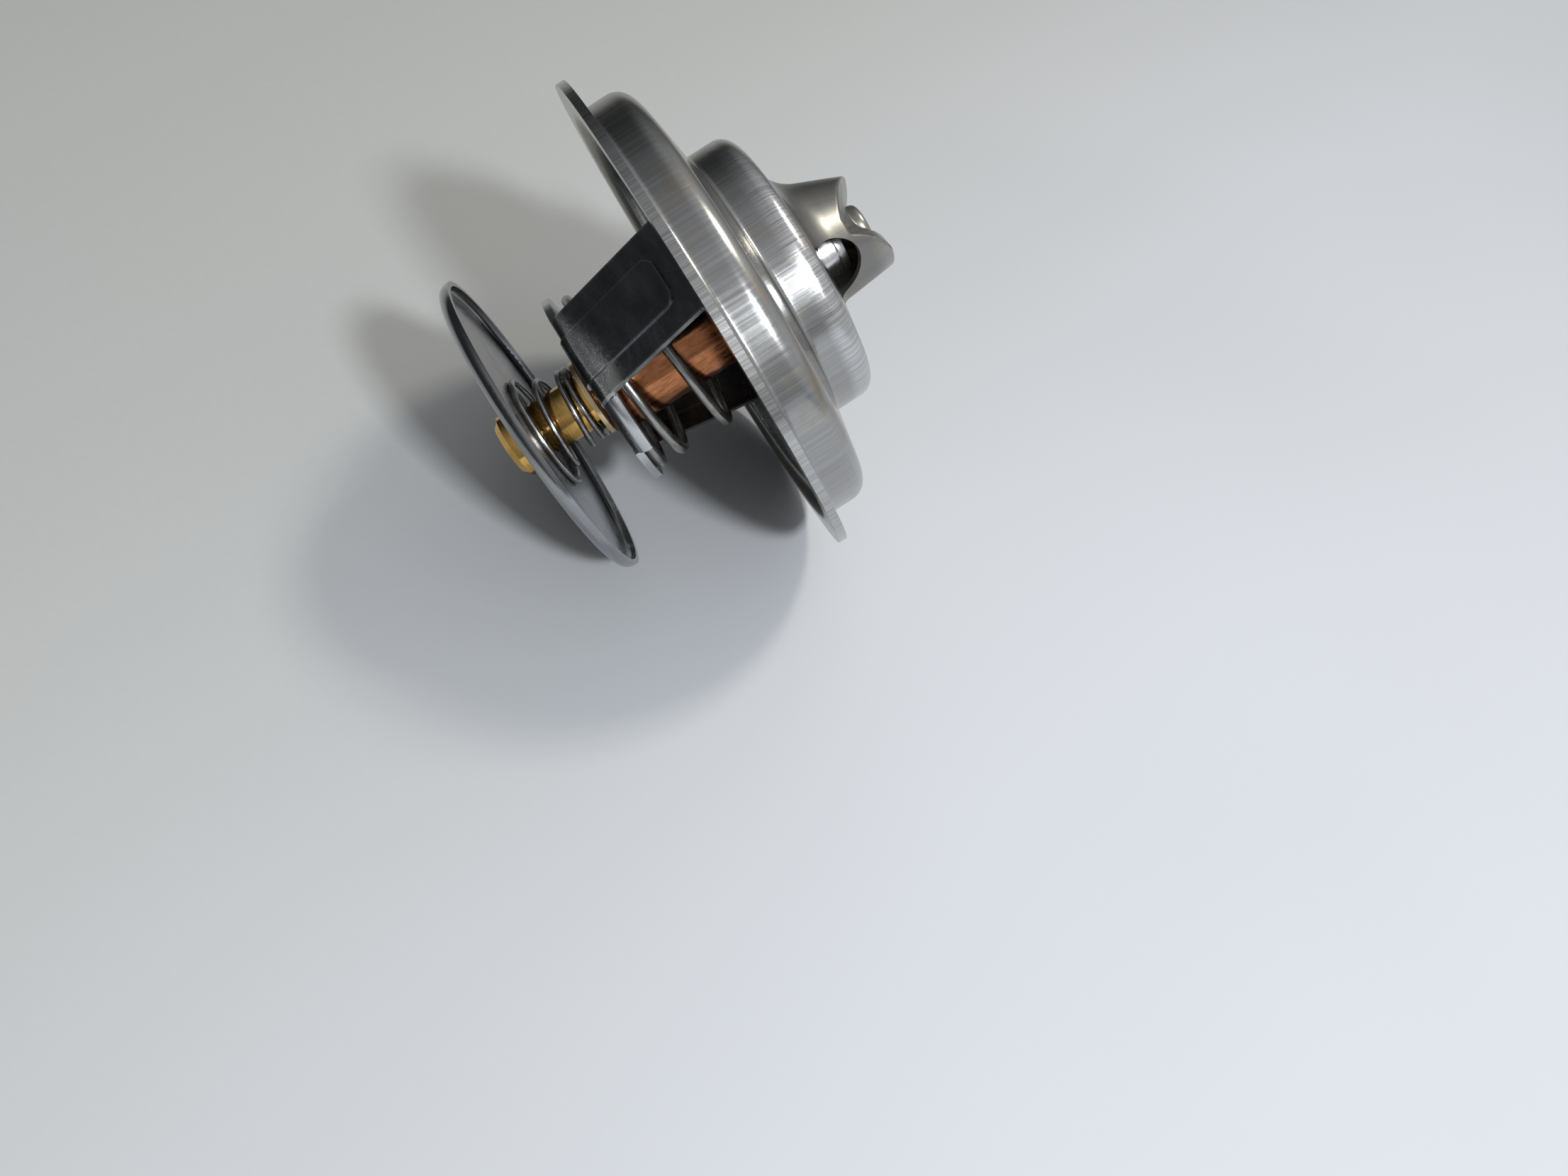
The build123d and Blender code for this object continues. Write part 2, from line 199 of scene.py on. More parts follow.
# ---------------------------------------------------------------- metal finishes
# Every metal piece is sheet, bar or wire worked by a tool that goes round the axis or along it.
# One group gives the marks: lines round or along the axis, stains, scratches and their bump.
group = bpy.data.node_groups.new("worked_metal", "ShaderNodeTree")
face = group.interface
for name, kind, value in (
        ("Light", "NodeSocketColor", (0.6, 0.6, 0.6, 1)),
        ("Dark", "NodeSocketColor", (0.4, 0.4, 0.4, 1)),
        ("Stain", "NodeSocketColor", (0.4, 0.35, 0.3, 1)), ("Stain Share", "NodeSocketFloat", 0.3),
        ("Stain Size", "NodeSocketFloat", 4.0), ("Around", "NodeSocketFloat", 20.0),
        ("Along", "NodeSocketFloat", 4.0), ("Depth", "NodeSocketFloat", 0.2),
        ("Smooth", "NodeSocketFloat", 0.2), ("Rough", "NodeSocketFloat", 0.4)):
    face.new_socket(name, in_out="INPUT", socket_type=kind).default_value = value
for name, kind in (("Color", "NodeSocketColor"), ("Roughness", "NodeSocketFloat"),
                   ("Normal", "NodeSocketVector")):
    face.new_socket(name, in_out="OUTPUT", socket_type=kind)
given = group.nodes.new("NodeGroupInput").outputs
result = group.nodes.new("NodeGroupOutput")
coords = put(group, "ShaderNodeTexCoord").outputs["Object"]
mm = put(group, "ShaderNodeVectorMath", {0: coords, "Scale": 1000.0}, operation="SCALE").outputs[0]
part = put(group, "ShaderNodeSeparateXYZ", {0: mm}).outputs
flat = put(group, "ShaderNodeCombineXYZ", {0: part[0], 1: part[1]}).outputs[0]
radius = put(group, "ShaderNodeVectorMath", {0: flat}, operation="LENGTH").outputs["Value"]
ring = put(group, "ShaderNodeVectorMath", {0: flat}, operation="NORMALIZE").outputs[0]
ring = put(group, "ShaderNodeVectorMath", {0: ring, "Scale": given["Around"]},
           operation="SCALE").outputs[0]
ring = put(group, "ShaderNodeSeparateXYZ", {0: ring}).outputs
rise = math_node(group, "ADD", radius, math_node(group, "MULTIPLY", part[2], 1.1))
rise = math_node(group, "MULTIPLY", rise, given["Along"])
wound = put(group, "ShaderNodeCombineXYZ", {0: ring[0], 1: ring[1], 2: rise}).outputs[0]
lines = put(group, "ShaderNodeTexNoise", {"Vector": wound, "Scale": 1.0, "Detail": 3.0,
            "Roughness": 0.65}).outputs["Fac"]
lines = smooth(group, lines, 0.28, 0.72)
spread = math_node(group, "DIVIDE", 1.0, given["Stain Size"])
patch = put(group, "ShaderNodeTexNoise", {"Vector": mm, "Scale": spread, "Detail": 5.0,
            "Roughness": 0.6, "Distortion": 0.6}).outputs["Fac"]
patch = smooth(group, patch, 0.48, 0.72)
fleck = put(group, "ShaderNodeTexNoise", {"Vector": mm, "Scale": 3.1, "Detail": 3.0}).outputs["Fac"]
fleck = smooth(group, fleck, 0.60, 0.72)
slant = put(group, "ShaderNodeMapping", {"Vector": mm, "Rotation": (0.5, 0.9, 0.4),
            "Scale": (9.0, 0.35, 5.0)}).outputs[0]
scratch = put(group, "ShaderNodeTexNoise",
              {"Vector": slant, "Scale": 1.0, "Detail": 2.0}).outputs["Fac"]
scratch = smooth(group, scratch, 0.70, 0.78)
tone = mix(group, lines, given["Dark"], given["Light"])
tone = mix(group, math_node(group, "MULTIPLY", patch, given["Stain Share"]), tone, given["Stain"])
tone = mix(group, math_node(group, "MULTIPLY", fleck, 0.18), tone, given["Stain"])
tone = mix(group, math_node(group, "MULTIPLY", scratch, 0.25), tone, given["Light"])
wear = math_node(group, "ADD", math_node(group, "MULTIPLY", patch, 0.45),
                 math_node(group, "MULTIPLY", lines, 0.45))
wear = math_node(group, "ADD", wear, math_node(group, "MULTIPLY", fleck, 0.2))
rough = put(group, "ShaderNodeMapRange", {"Value": wear, "To Min": given["Smooth"],
            "To Max": given["Rough"]}).outputs[0]
height = math_node(group, "SUBTRACT", lines, math_node(group, "MULTIPLY", scratch, 0.8))
normal = put(group, "ShaderNodeBump", {"Height": height, "Strength": given["Depth"],
             "Distance": 0.00003}).outputs[0]
group.links.new(tone, result.inputs["Color"])
group.links.new(rough, result.inputs["Roughness"])
group.links.new(normal, result.inputs["Normal"])
worked = group


def marks(tree, light, dark, stain, share, size, around, along, depth, smoothest, roughest):
    """One use of the worked-metal marks, with its own colours and tool lines."""
    return put(tree, "ShaderNodeGroup",
               {"Light": (*light, 1), "Dark": (*dark, 1), "Stain": (*stain, 1),
                "Stain Share": share, "Stain Size": size, "Around": around, "Along": along,
                "Depth": depth, "Smooth": smoothest, "Rough": roughest}, node_tree=worked).outputs


def metal(name, **look):
    """A metal with one set of marks."""
    material, tree, out = new_material(name)
    made = marks(tree, **look)
    shader = put(tree, "ShaderNodeBsdfPrincipled", {"Base Color": made["Color"], "Metallic": 1.0,
                 "Roughness": made["Roughness"], "Normal": made["Normal"]})
    tree.links.new(shader.outputs[0], out.inputs["Surface"])
    return material


def dress(node, material):
    """Gives a carried-over piece its finish."""
    for slot in nodes[node].material_slots:
        slot.material = material


# ---------------------------------------------------------------- dome stamping
# Flange, two drums and bridge, deep drawn from one stainless sheet and pierced with two arched
# windows.  The roof is pressed down across the middle, so its rim rises to a horn on each side.
# Round steep_way the neck is nearly straight, not flared.  Sizes are in mm up to the mesh.
sheet = 1.1
edge_r = 33.5
drum_1 = (29.6, 6.7)
drum_2 = (18.6, 14.75)
shoulder_rise = 0.205
tip_r, tip_h, taper = 6.4, 25.7, 0.413
neck_fillet, neck_line = 6.0, 19.6
steep_way, steep_taper, steep_fillet = math.radians(42), 0.10, 1.6
steep_end, steep_spread = 0.05, 0.60
roof_low, rim_low = 23.2, 21.3
boss_r, boss_top, boss_round, least_round = 3.0, 24.95, 1.0, 0.1
boss_flare, boss_foot_rise, boss_centre = 0.35, 0.3, 0.02
root_fillet, drum_1_edge, drum_2_edge = 0.8, 2.6, 2.2
rim_ease, rim_ease_under = 0.40, 0.1
bridge_turn = math.radians(-25)
columns = 288

# The saddle's two edges: each has a crest, a place along it where the droop begins, and how
# fast it then droops.
saddle_reach, saddle_half = 6.2, 4.3
near_crest, near_from, near_droop = 25.8, 1.1, 0.103
far_crest, far_from, far_droop = 25.7, -4.8, 0.045


def rounded(corners, radii, run=8, bend=14):
    """A line of corners with circular fillets: straight runs are divided evenly, and each fillet
    is an arc that touches both of its runs."""
    corners = np.array(corners, float)
    stops, arcs = [corners[0]], []
    for before, here, after, radius in zip(corners, corners[1:], corners[2:], radii):
        back = (before - here) / np.linalg.norm(before - here)
        ahead = (after - here) / np.linalg.norm(after - here)
        half = np.arccos(np.clip(back @ ahead, -1, 1)) / 2
        middle = here + (back + ahead) / np.linalg.norm(back + ahead) * radius / np.sin(half)
        start, end = here + back * radius / np.tan(half), here + ahead * radius / np.tan(half)
        share = np.linspace(0, 1, bend)[:, None]
        spokes = (1 - share) * (start - middle) + share * (end - middle)
        arcs.append(middle + radius * spokes / np.linalg.norm(spokes, axis=1)[:, None])
        stops += [start, end]
    stops.append(corners[-1])
    pieces = []
    for number in range(0, len(stops), 2):
        share = np.linspace(0, 1, run)[1:-1, None]
        pieces.append(stops[number][None])
        pieces.append((1 - share) * stops[number] + share * stops[number + 1])
        pieces.append(stops[number + 1][None])
        if number // 2 < len(arcs):
            pieces.append(arcs[number // 2][1:-1])
    return np.concatenate(pieces)


def roof_height(across, along):
    """Saddle: low in the middle; the near edge droops to one end and the far edge to the other."""
    along = np.clip(along, -saddle_reach, saddle_reach)
    share = np.clip(across / saddle_half, -1, 1)
    near = near_crest - near_droop * np.clip(near_from - along, 0, None) ** 2
    far = far_crest - far_droop * np.clip(along - far_from, 0, None) ** 2
    near, far = np.clip(near, rim_low, tip_h), np.clip(far, rim_low, tip_h)
    return roof_low + share ** 2 * ((near + far) / 2 - roof_low) + share * (near - far) / 2


def bend(first, corner, last, count):
    """Quadratic curve from first to last, pulled to the corner."""
    share = np.linspace(0, 1, count)[:, None, None]
    return (1 - share) ** 2 * first + 2 * share * (1 - share) * corner + share ** 2 * last


def turned_line(depth, lean, fillet, run, curve):
    """Profile from the flange's edge up the neck, whose wall leans in by lean and meets the
    shoulder in a fillet."""
    slant = depth * math.hypot(1, shoulder_rise)
    lean_in = depth * math.hypot(1, lean)
    (r1, h1), (r2, h2) = drum_1, drum_2
    meet = tip_r + lean * (tip_h - h2 - shoulder_rise * r2 + slant) - lean_in
    meet /= 1 - lean * shoulder_rise
    return rounded([(edge_r, sheet - depth), (r1 - depth, sheet - depth),
                    (r1 - depth, h1 + shoulder_rise * depth - slant),
                    (r2 - depth, h1 + shoulder_rise * (r1 - r2 + depth) - slant),
                    (r2 - depth, h2 + shoulder_rise * depth - slant),
                    (meet, h2 + shoulder_rise * (r2 - meet) - slant),
                    (tip_r - lean_in + lean * (tip_h - neck_line), neck_line)],
                   [root_fillet + depth, drum_1_edge - depth, root_fillet + depth,
                    drum_2_edge - depth, fillet + depth], run, curve)


def skin(depth, run, curve, rows):
    """One side of the sheet, depth below the upper side, as points by row and column: a turned
    line up the neck, then a wall cut by the saddle, the saddle itself and the boss.  Each column
    is radius and height, turned to its place.  Round steep_way the line is the steep one, and
    beyond that the share of the steep line falls smoothly to nothing."""
    turn = np.linspace(0, 2 * np.pi, columns, endpoint=False)
    way = np.stack([np.cos(turn), np.sin(turn)])
    steep = np.clip((np.cos(turn - steep_way) - steep_end) / steep_spread, 0, 1)
    steep = steep * steep * (3 - 2 * steep)
    lean = taper + (steep_taper - taper) * steep
    lean_in = depth * np.hypot(1, lean)
    share = steep[None, :, None]
    line = ((1 - share) * turned_line(depth, taper, neck_fillet, run, curve)[:, None]
            + share * turned_line(depth, steep_taper, steep_fillet, run, curve)[:, None])
    height = np.full(columns, tip_h)
    for _ in range(40):
        radius = tip_r - lean_in + lean * (tip_h - height)
        height = 0.5 * height + 0.5 * (roof_height(*(way * radius)) - depth)
    radius = tip_r - lean_in + lean * (tip_h - height)
    rim = np.stack([radius, height], -1)
    ease = rim_ease if depth == 0 else rim_ease_under
    wall_end = rim + ease * np.stack([lean, np.full(columns, -1.0)], -1)
    roof_start_r = radius - ease
    roof_start = np.stack([roof_start_r, roof_height(*(way * roof_start_r)) - depth], -1)
    foot_r = boss_r - depth + boss_flare
    share = np.linspace(0, 1, rows)[:, None]
    wall = np.stack([(1 - share) * line[-1, :, 0] + share * wall_end[:, 0],
                     (1 - share) * line[-1, :, 1] + share * wall_end[:, 1]], -1)
    roof_r = (1 - share) * roof_start_r + share * foot_r
    roof = np.stack([roof_r, roof_height(roof_r * way[0], roof_r * way[1]) - depth], -1)
    foot_h = roof_height(*(way * (boss_r - depth))) - depth
    corner = np.stack([np.full(columns, boss_r - depth), foot_h], -1)
    boss_foot = bend(roof[-1], corner, corner + (0, boss_foot_rise), 5)
    cap_round = max(boss_round - depth, least_round)
    top = boss_top - depth
    shoulder = np.array([(boss_r - depth, top - cap_round), (boss_r - depth, top),
                         (boss_r - depth - cap_round, top)])
    cap = bend(*(np.tile(point, (columns, 1)) for point in shoulder), 9)
    flat_r = np.linspace(boss_r - depth - cap_round, boss_centre, 5)[1:]
    flat = np.stack([flat_r, np.full(len(flat_r), top)], -1)
    grid = [line, wall[1:], bend(wall_end, rim, roof_start, 8)[1:],
            roof[1:], boss_foot[1:], cap, np.repeat(flat[:, None], columns, 1)]
    grid = np.concatenate(grid)
    turn = turn + bridge_turn
    return np.stack([grid[..., 0] * np.cos(turn), grid[..., 0] * np.sin(turn), grid[..., 1]], -1)


def sheet_solid(name, upper, lower):
    """Closes two skins with the same columns into one sheet: they join at their first rows, and
    each last row closes on its own centre."""
    around = upper.shape[1]
    layers = np.concatenate([lower[::-1], upper])
    count = len(layers)
    points = np.concatenate([layers.reshape(-1, 3), lower[-1].mean(0)[None],
                             upper[-1].mean(0)[None]])
    row, side = np.meshgrid(np.arange(count - 1), np.arange(around), indexing="ij")
    after = (side + 1) % around
    quads = np.stack([row * around + side, row * around + after, (row + 1) * around + after,
                      (row + 1) * around + side], -1).reshape(-1, 4)
    side = np.arange(around)
    after = (side + 1) % around
    low, high = count * around, count * around + 1
    caps = [np.stack([np.full(around, low), after, side], -1),
            np.stack([np.full(around, high), (count - 1) * around + side,
                      (count - 1) * around + after], -1)]
    mesh = bpy.data.meshes.new(name)
    mesh.from_pydata(points * 0.001, [], quads.tolist() + caps[0].tolist() + caps[1].tolist())
    thing = bpy.data.objects.new(name, mesh)
    scene.collection.objects.link(thing)
    return thing


window_half, window_middle, window_rise, window_foot, window_shift = 4.35, 16.0, 5.4, 14.0, 0.4
window_start, window_end, window_way = 2.6, 12.6, math.radians(27.5)
crease = math.radians(38)


def window_punch(name, turn):
    """An arched bar: a half ellipse over a short straight foot, a little to one side, carried
    outwards from window_start to the seat's hole at window_end, in the direction of turn."""
    arch = np.linspace(0, np.pi, 60)
    outline = np.concatenate([np.stack([window_half * np.cos(arch),
                                        window_middle + window_rise * np.sin(arch)], -1),
                              [(-window_half, window_foot), (window_half, window_foot)]])
    outline = outline + (window_shift, 0)
    out = np.array([math.cos(turn), math.sin(turn), 0])
    side = np.array([-math.sin(turn), math.cos(turn), 0])
    bars = [r * out + outline[:, :1] * side + outline[:, 1:] * (0, 0, 1)
            for r in (window_start, window_end)]
    count = len(outline)
    here = np.arange(count)
    after = (here + 1) % count
    walls = np.stack([here, after, after + count, here + count], -1)
    mesh = bpy.data.meshes.new(name)
    mesh.from_pydata(np.concatenate(bars) * 0.001, [],
                     walls.tolist() + [here[::-1].tolist(), (here + count).tolist()])
    thing = bpy.data.objects.new(name, mesh)
    scene.collection.objects.link(thing)
    return thing


dome = sheet_solid("dome_stamping", skin(0.0, 7, 12, 16), skin(sheet, 5, 8, 12))
for number in (0, 1):
    punch = window_punch("window_punch", bridge_turn - window_way + number * math.pi)
    cut = dome.modifiers.new("window", "BOOLEAN")
    cut.object = punch
    cut.solver = "EXACT"
    shaped = dome.evaluated_get(bpy.context.evaluated_depsgraph_get())
    cut_mesh = bpy.data.meshes.new_from_object(shaped)
    dome.modifiers.clear()
    dome.data = cut_mesh
    bpy.data.objects.remove(punch)
cut_mesh.polygons.foreach_set("use_smooth", np.ones(len(cut_mesh.polygons), bool))
cut_mesh.set_sharp_from_angle(angle=crease)

# The dies leave fine axial streaks on the walls and the flange's sheared edge, strongest on the
# upper drum, faint rings on the faces, and warm patches.  On the upper drum and the flange's edge
# the streaks are also painted bright, a painted highlight.  The neck is painted darker, a painted
# shade, and is duller.
stainless, tree, out = new_material("drawn_stainless")
rings = marks(tree, light=(0.42, 0.418, 0.402), dark=(0.30, 0.297, 0.285),
              stain=(0.37, 0.30, 0.19), share=0.70, size=5.0, around=2.2, along=2.2,
              depth=0.06, smoothest=0.17, roughest=0.33)
draws = marks(tree, light=(0.41, 0.412, 0.405), dark=(0.33, 0.327, 0.32),
              stain=(0.36, 0.31, 0.22), share=0.50, size=7.0, around=70.0, along=0.05,
              depth=0.07, smoothest=0.18, roughest=0.32)
# Painted highlight: these streaks are painted far brighter than the other walls, in place of the
# highlights along the upper drum's fillet.
sheen_streaks = marks(tree, light=(0.76, 0.76, 0.755), dark=(0.32, 0.316, 0.31),
              stain=(0.42, 0.37, 0.29), share=0.20, size=7.0, around=165.0, along=0.01,
              depth=0.16, smoothest=0.15, roughest=0.31)
place = put(tree, "ShaderNodeTexCoord").outputs["Object"]
spot = put(tree, "ShaderNodeSeparateXYZ", {0: place}).outputs
level = put(tree, "ShaderNodeCombineXYZ", {0: spot[0], 1: spot[1]}).outputs[0]
away = put(tree, "ShaderNodeVectorMath", {0: level}, operation="LENGTH").outputs["Value"]
surface_way = put(tree, "ShaderNodeNewGeometry").outputs["Normal"]
slope = put(tree, "ShaderNodeSeparateXYZ", {0: surface_way}).outputs[2]
slope = math_node(tree, "ABSOLUTE", slope)
wall = math_node(tree, "SUBTRACT", 1.0, smooth(tree, slope, 0.25, 0.65))
# Where the painted highlight goes: the upper drum's wall and fillet, and the flange's sheared edge
# at about half strength.
upper = math_node(tree, "MULTIPLY", smooth(tree, spot[2], 0.0112, 0.0128),
                  smooth(tree, away, 0.0165, 0.0175))
upper = math_node(tree, "MULTIPLY", upper, smooth(tree, slope, 0.95, 0.70))
rim = smooth(tree, away, 0.03335, 0.03342, 0.0, 0.55)
upper = math_node(tree, "MAXIMUM", upper, rim)
tone = mix(tree, upper, mix(tree, wall, rings["Color"], draws["Color"]), sheen_streaks["Color"])
# Painted shade: the neck's colour is pulled toward a dark tone in place of the dark room it
# reflects; the same mask also raises its roughness.
neck = math_node(tree, "MULTIPLY", smooth(tree, away, 0.0135, 0.0095),
                 smooth(tree, spot[2], 0.0255, 0.0225))
neck_shade_tone = (0.19, 0.184, 0.163, 1)
tone = mix(tree, math_node(tree, "MULTIPLY", neck, 0.70), tone, neck_shade_tone)
rough = put(tree, "ShaderNodeMix",
            {"Factor": wall, 2: rings["Roughness"], 3: draws["Roughness"]}).outputs[0]
rough = put(tree, "ShaderNodeMix", {"Factor": upper, 2: rough, 3: sheen_streaks["Roughness"]}).outputs[0]
rough = math_node(tree, "ADD", rough, math_node(tree, "MULTIPLY", neck, 0.14))
normal = put(tree, "ShaderNodeMix", {"Factor": wall, 4: rings["Normal"], 5: draws["Normal"]},
             data_type="VECTOR").outputs[1]
normal = put(tree, "ShaderNodeMix", {"Factor": upper, 4: normal, 5: sheen_streaks["Normal"]},
             data_type="VECTOR").outputs[1]
shader = put(tree, "ShaderNodeBsdfPrincipled",
             {"Base Color": tone, "Metallic": 1.0, "Roughness": rough, "Normal": normal})
tree.links.new(shader.outputs[0], out.inputs["Surface"])
cut_mesh.materials.clear()
cut_mesh.materials.append(stainless)
dress("dome_flange", stainless)
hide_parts("dome_flange")
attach(dome, "housing")

# ---------------------------------------------------------------- spring frame
# Tray and two leaning legs bent from one cold-rolled strip.  It is darker and bluer than the
# dome and rolled lengthwise.  Its sheared edges are bare metal with a painted highlight, and each
# leg's raised panel has a painted highlight along its outline.
frame_steel, tree, out = new_material("rolled_strip")
rolled = marks(tree, light=(0.30, 0.315, 0.335), dark=(0.21, 0.222, 0.24),
               stain=(0.22, 0.21, 0.19), share=0.40, size=6.0, around=3.0, along=0.3,
               depth=0.04, smoothest=0.20, roughest=0.36)
place = put(tree, "ShaderNodeTexCoord").outputs["Object"]
drawn = put(tree, "ShaderNodeMapping",
            {"Vector": place, "Scale": (5200.0, 130.0, 130.0)}).outputs[0]
grain = put(tree, "ShaderNodeTexNoise",
            {"Vector": drawn, "Scale": 1.0, "Detail": 3.0}).outputs["Fac"]
spot = put(tree, "ShaderNodeSeparateXYZ", {0: place}).outputs
across = math_node(tree, "ABSOLUTE", spot[0])
# The legs' side edges: bare sheared metal, with a painted highlight on top.
edge = smooth(tree, across, 0.00570, 0.00597)
# The raised panel's outline on each leg: a painted highlight along its bend.
panel_side, panel_end, panel_corner = 0.0016, 0.0034, 0.0016
beyond_side = math_node(tree, "MAXIMUM", math_node(tree, "SUBTRACT", across, panel_side), 0.0)
beyond_end = math_node(tree, "MAXIMUM", math_node(tree, "ADD", spot[2], panel_end), 0.0)
corner = put(tree, "ShaderNodeCombineXYZ", {0: beyond_side, 1: beyond_end}).outputs[0]
corner = put(tree, "ShaderNodeVectorMath", {0: corner}, operation="LENGTH").outputs["Value"]
outline = math_node(tree, "ABSOLUTE", math_node(tree, "SUBTRACT", corner, panel_corner))
outline = smooth(tree, outline, 0.00022, 0.00003)
edge_wear_and_highlight = math_node(tree, "MAXIMUM", math_node(tree, "MULTIPLY", edge, 0.8),
                 math_node(tree, "MULTIPLY", outline, 0.55))
grain_blue, wear_and_highlight_grey = (0.36, 0.375, 0.39, 1), (0.66, 0.67, 0.67, 1)
tone = mix(tree, smooth(tree, grain, 0.35, 0.70, 0.0, 0.35), rolled["Color"], grain_blue)
tone = mix(tree, edge_wear_and_highlight, tone, wear_and_highlight_grey)
normal = put(tree, "ShaderNodeBump", {"Height": grain, "Strength": 0.10, "Distance": 0.00002,
             "Normal": rolled["Normal"]}).outputs[0]
shader = put(tree, "ShaderNodeBsdfPrincipled", {"Base Color": tone, "Metallic": 1.0,
             "Roughness": rolled["Roughness"], "Normal": normal})
tree.links.new(shader.outputs[0], out.inputs["Surface"])
dress("lower_frame", frame_steel)

# ---------------------------------------------------------------- wax element
# A copper cup crimped round a turned steel guide, with a ground piston, a rubber wiper and the
# wax and rubber parts that are sealed inside it.
dress("capsule_cup", metal("drawn_copper", light=(0.56, 0.23, 0.10), dark=(0.30, 0.115, 0.05),
                           stain=(0.15, 0.06, 0.03), share=0.60, size=3.0, around=14.0, along=0.4,
                           depth=0.08, smoothest=0.10, roughest=0.26))
polished = metal("polished_nose", light=(0.88, 0.88, 0.88), dark=(0.70, 0.70, 0.71),
                 stain=(0.55, 0.53, 0.50), share=0.20, size=2.0, around=1.5, along=7.0,
                 depth=0.06, smoothest=0.22, roughest=0.36)
dress("guide_nose", polished)
dress("nose_cap", polished)
dress("piston", metal("ground_steel", light=(0.70, 0.70, 0.70), dark=(0.52, 0.52, 0.53),
                      stain=(0.40, 0.38, 0.36), share=0.2, size=2.0, around=1.0, along=9.0,
                      depth=0.06, smoothest=0.12, roughest=0.26))


def soft(name, light, dark, grain, roughness, shine=0.35):
    """Rubber, plastic or wax: fine grain over slow changes of tone."""
    material, tree, out = new_material(name)
    place = put(tree, "ShaderNodeTexCoord").outputs["Object"]
    fine = put(tree, "ShaderNodeTexNoise",
               {"Vector": place, "Scale": grain, "Detail": 4.0}).outputs["Fac"]
    slow = put(tree, "ShaderNodeTexNoise",
               {"Vector": place, "Scale": 260.0, "Detail": 3.0}).outputs["Fac"]
    tone = mix(tree, smooth(tree, slow, 0.35, 0.7), (*dark, 1), (*light, 1))
    dust = math_node(tree, "MULTIPLY", smooth(tree, fine, 0.6, 0.75), 0.25)
    tone = mix(tree, dust, tone, tuple(min(1, 2.4 * v) for v in light) + (1,))
    rough = smooth(tree, slow, 0.3, 0.7, roughness - 0.1, roughness + 0.1)
    normal = put(tree, "ShaderNodeBump",
                 {"Height": fine, "Strength": 0.3, "Distance": 0.00002}).outputs[0]
    shader = put(tree, "ShaderNodeBsdfPrincipled", {"Base Color": tone, "Roughness": rough,
                 "Normal": normal, "Specular IOR Level": shine})
    tree.links.new(shader.outputs[0], out.inputs["Surface"])
    return material


dress("piston_wiper", soft("wiper_rubber", light=(0.030, 0.030, 0.032),
                           dark=(0.018, 0.018, 0.019), grain=5200.0, roughness=0.55))
dress("diaphragm_plug", soft("diaphragm_rubber", light=(0.050, 0.048, 0.045),
                             dark=(0.030, 0.029, 0.028), grain=5200.0, roughness=0.60))
dress("piston_pad", soft("white_pad", light=(0.80, 0.79, 0.75), dark=(0.68, 0.66, 0.62),
                         grain=4200.0, roughness=0.45))
dress("wax_charge", soft("wax", light=(0.62, 0.52, 0.33), dark=(0.50, 0.40, 0.24),
                         grain=3000.0, roughness=0.40, shine=0.5))

# ---------------------------------------------------------------- main valve
# A dished steel plate pressed on to the wax element, with a black rubber ring moulded round its
# edge that closes on the seat inside the upper drum.
dress("valve_plate", metal("plate_steel", light=(0.50, 0.49, 0.47), dark=(0.33, 0.32, 0.31),
                           stain=(0.34, 0.28, 0.21), share=0.55, size=4.0, around=3.0, along=2.8,
                           depth=0.12, smoothest=0.26, roughest=0.44))
dress("valve_seal", soft("seal_rubber", light=(0.034, 0.034, 0.035),
                         dark=(0.020, 0.020, 0.021), grain=4300.0, roughness=0.52))

# ---------------------------------------------------------------- bypass valve
# Brass stem and stud on the cup's nipple, a thin washer, and a pressed pan that slides on the
# stem; the pan's face still shows the rings of the press and polishing.
brass = metal("turned_brass", light=(0.80, 0.51, 0.16), dark=(0.54, 0.31, 0.08),
              stain=(0.30, 0.17, 0.06), share=0.4, size=2.5, around=1.2, along=6.0,
              depth=0.08, smoothest=0.08, roughest=0.22)
dress("bypass_stem", brass)
dress("spring_washer", metal("washer_brass", light=(0.74, 0.60, 0.36), dark=(0.54, 0.42, 0.24),
                             stain=(0.34, 0.25, 0.16), share=0.4, size=2.0, around=1.5, along=4.0,
                             depth=0.10, smoothest=0.20, roughest=0.38))
dress("bypass_pan", metal("pan_steel", light=(0.40, 0.41, 0.42), dark=(0.28, 0.29, 0.305),
                          stain=(0.25, 0.245, 0.24), share=0.5, size=6.0, around=2.5, along=3.4,
                          depth=0.10, smoothest=0.12, roughest=0.28))

# ---------------------------------------------------------------- springs
# Two springs of round drawn wire.  The main one stands on the tray and pushes the valve plate;
# the fine one spreads from the washer down to the pan.  Both have closed ends.


def climb(turn, start, ramp, pitch):
    """Height gained: nothing before start, then a pitch that grows evenly over the ramp."""
    run = np.clip(turn - start, 0, None)
    return np.where(run < ramp, pitch * run * run / (2 * ramp), pitch * (run - ramp / 2))


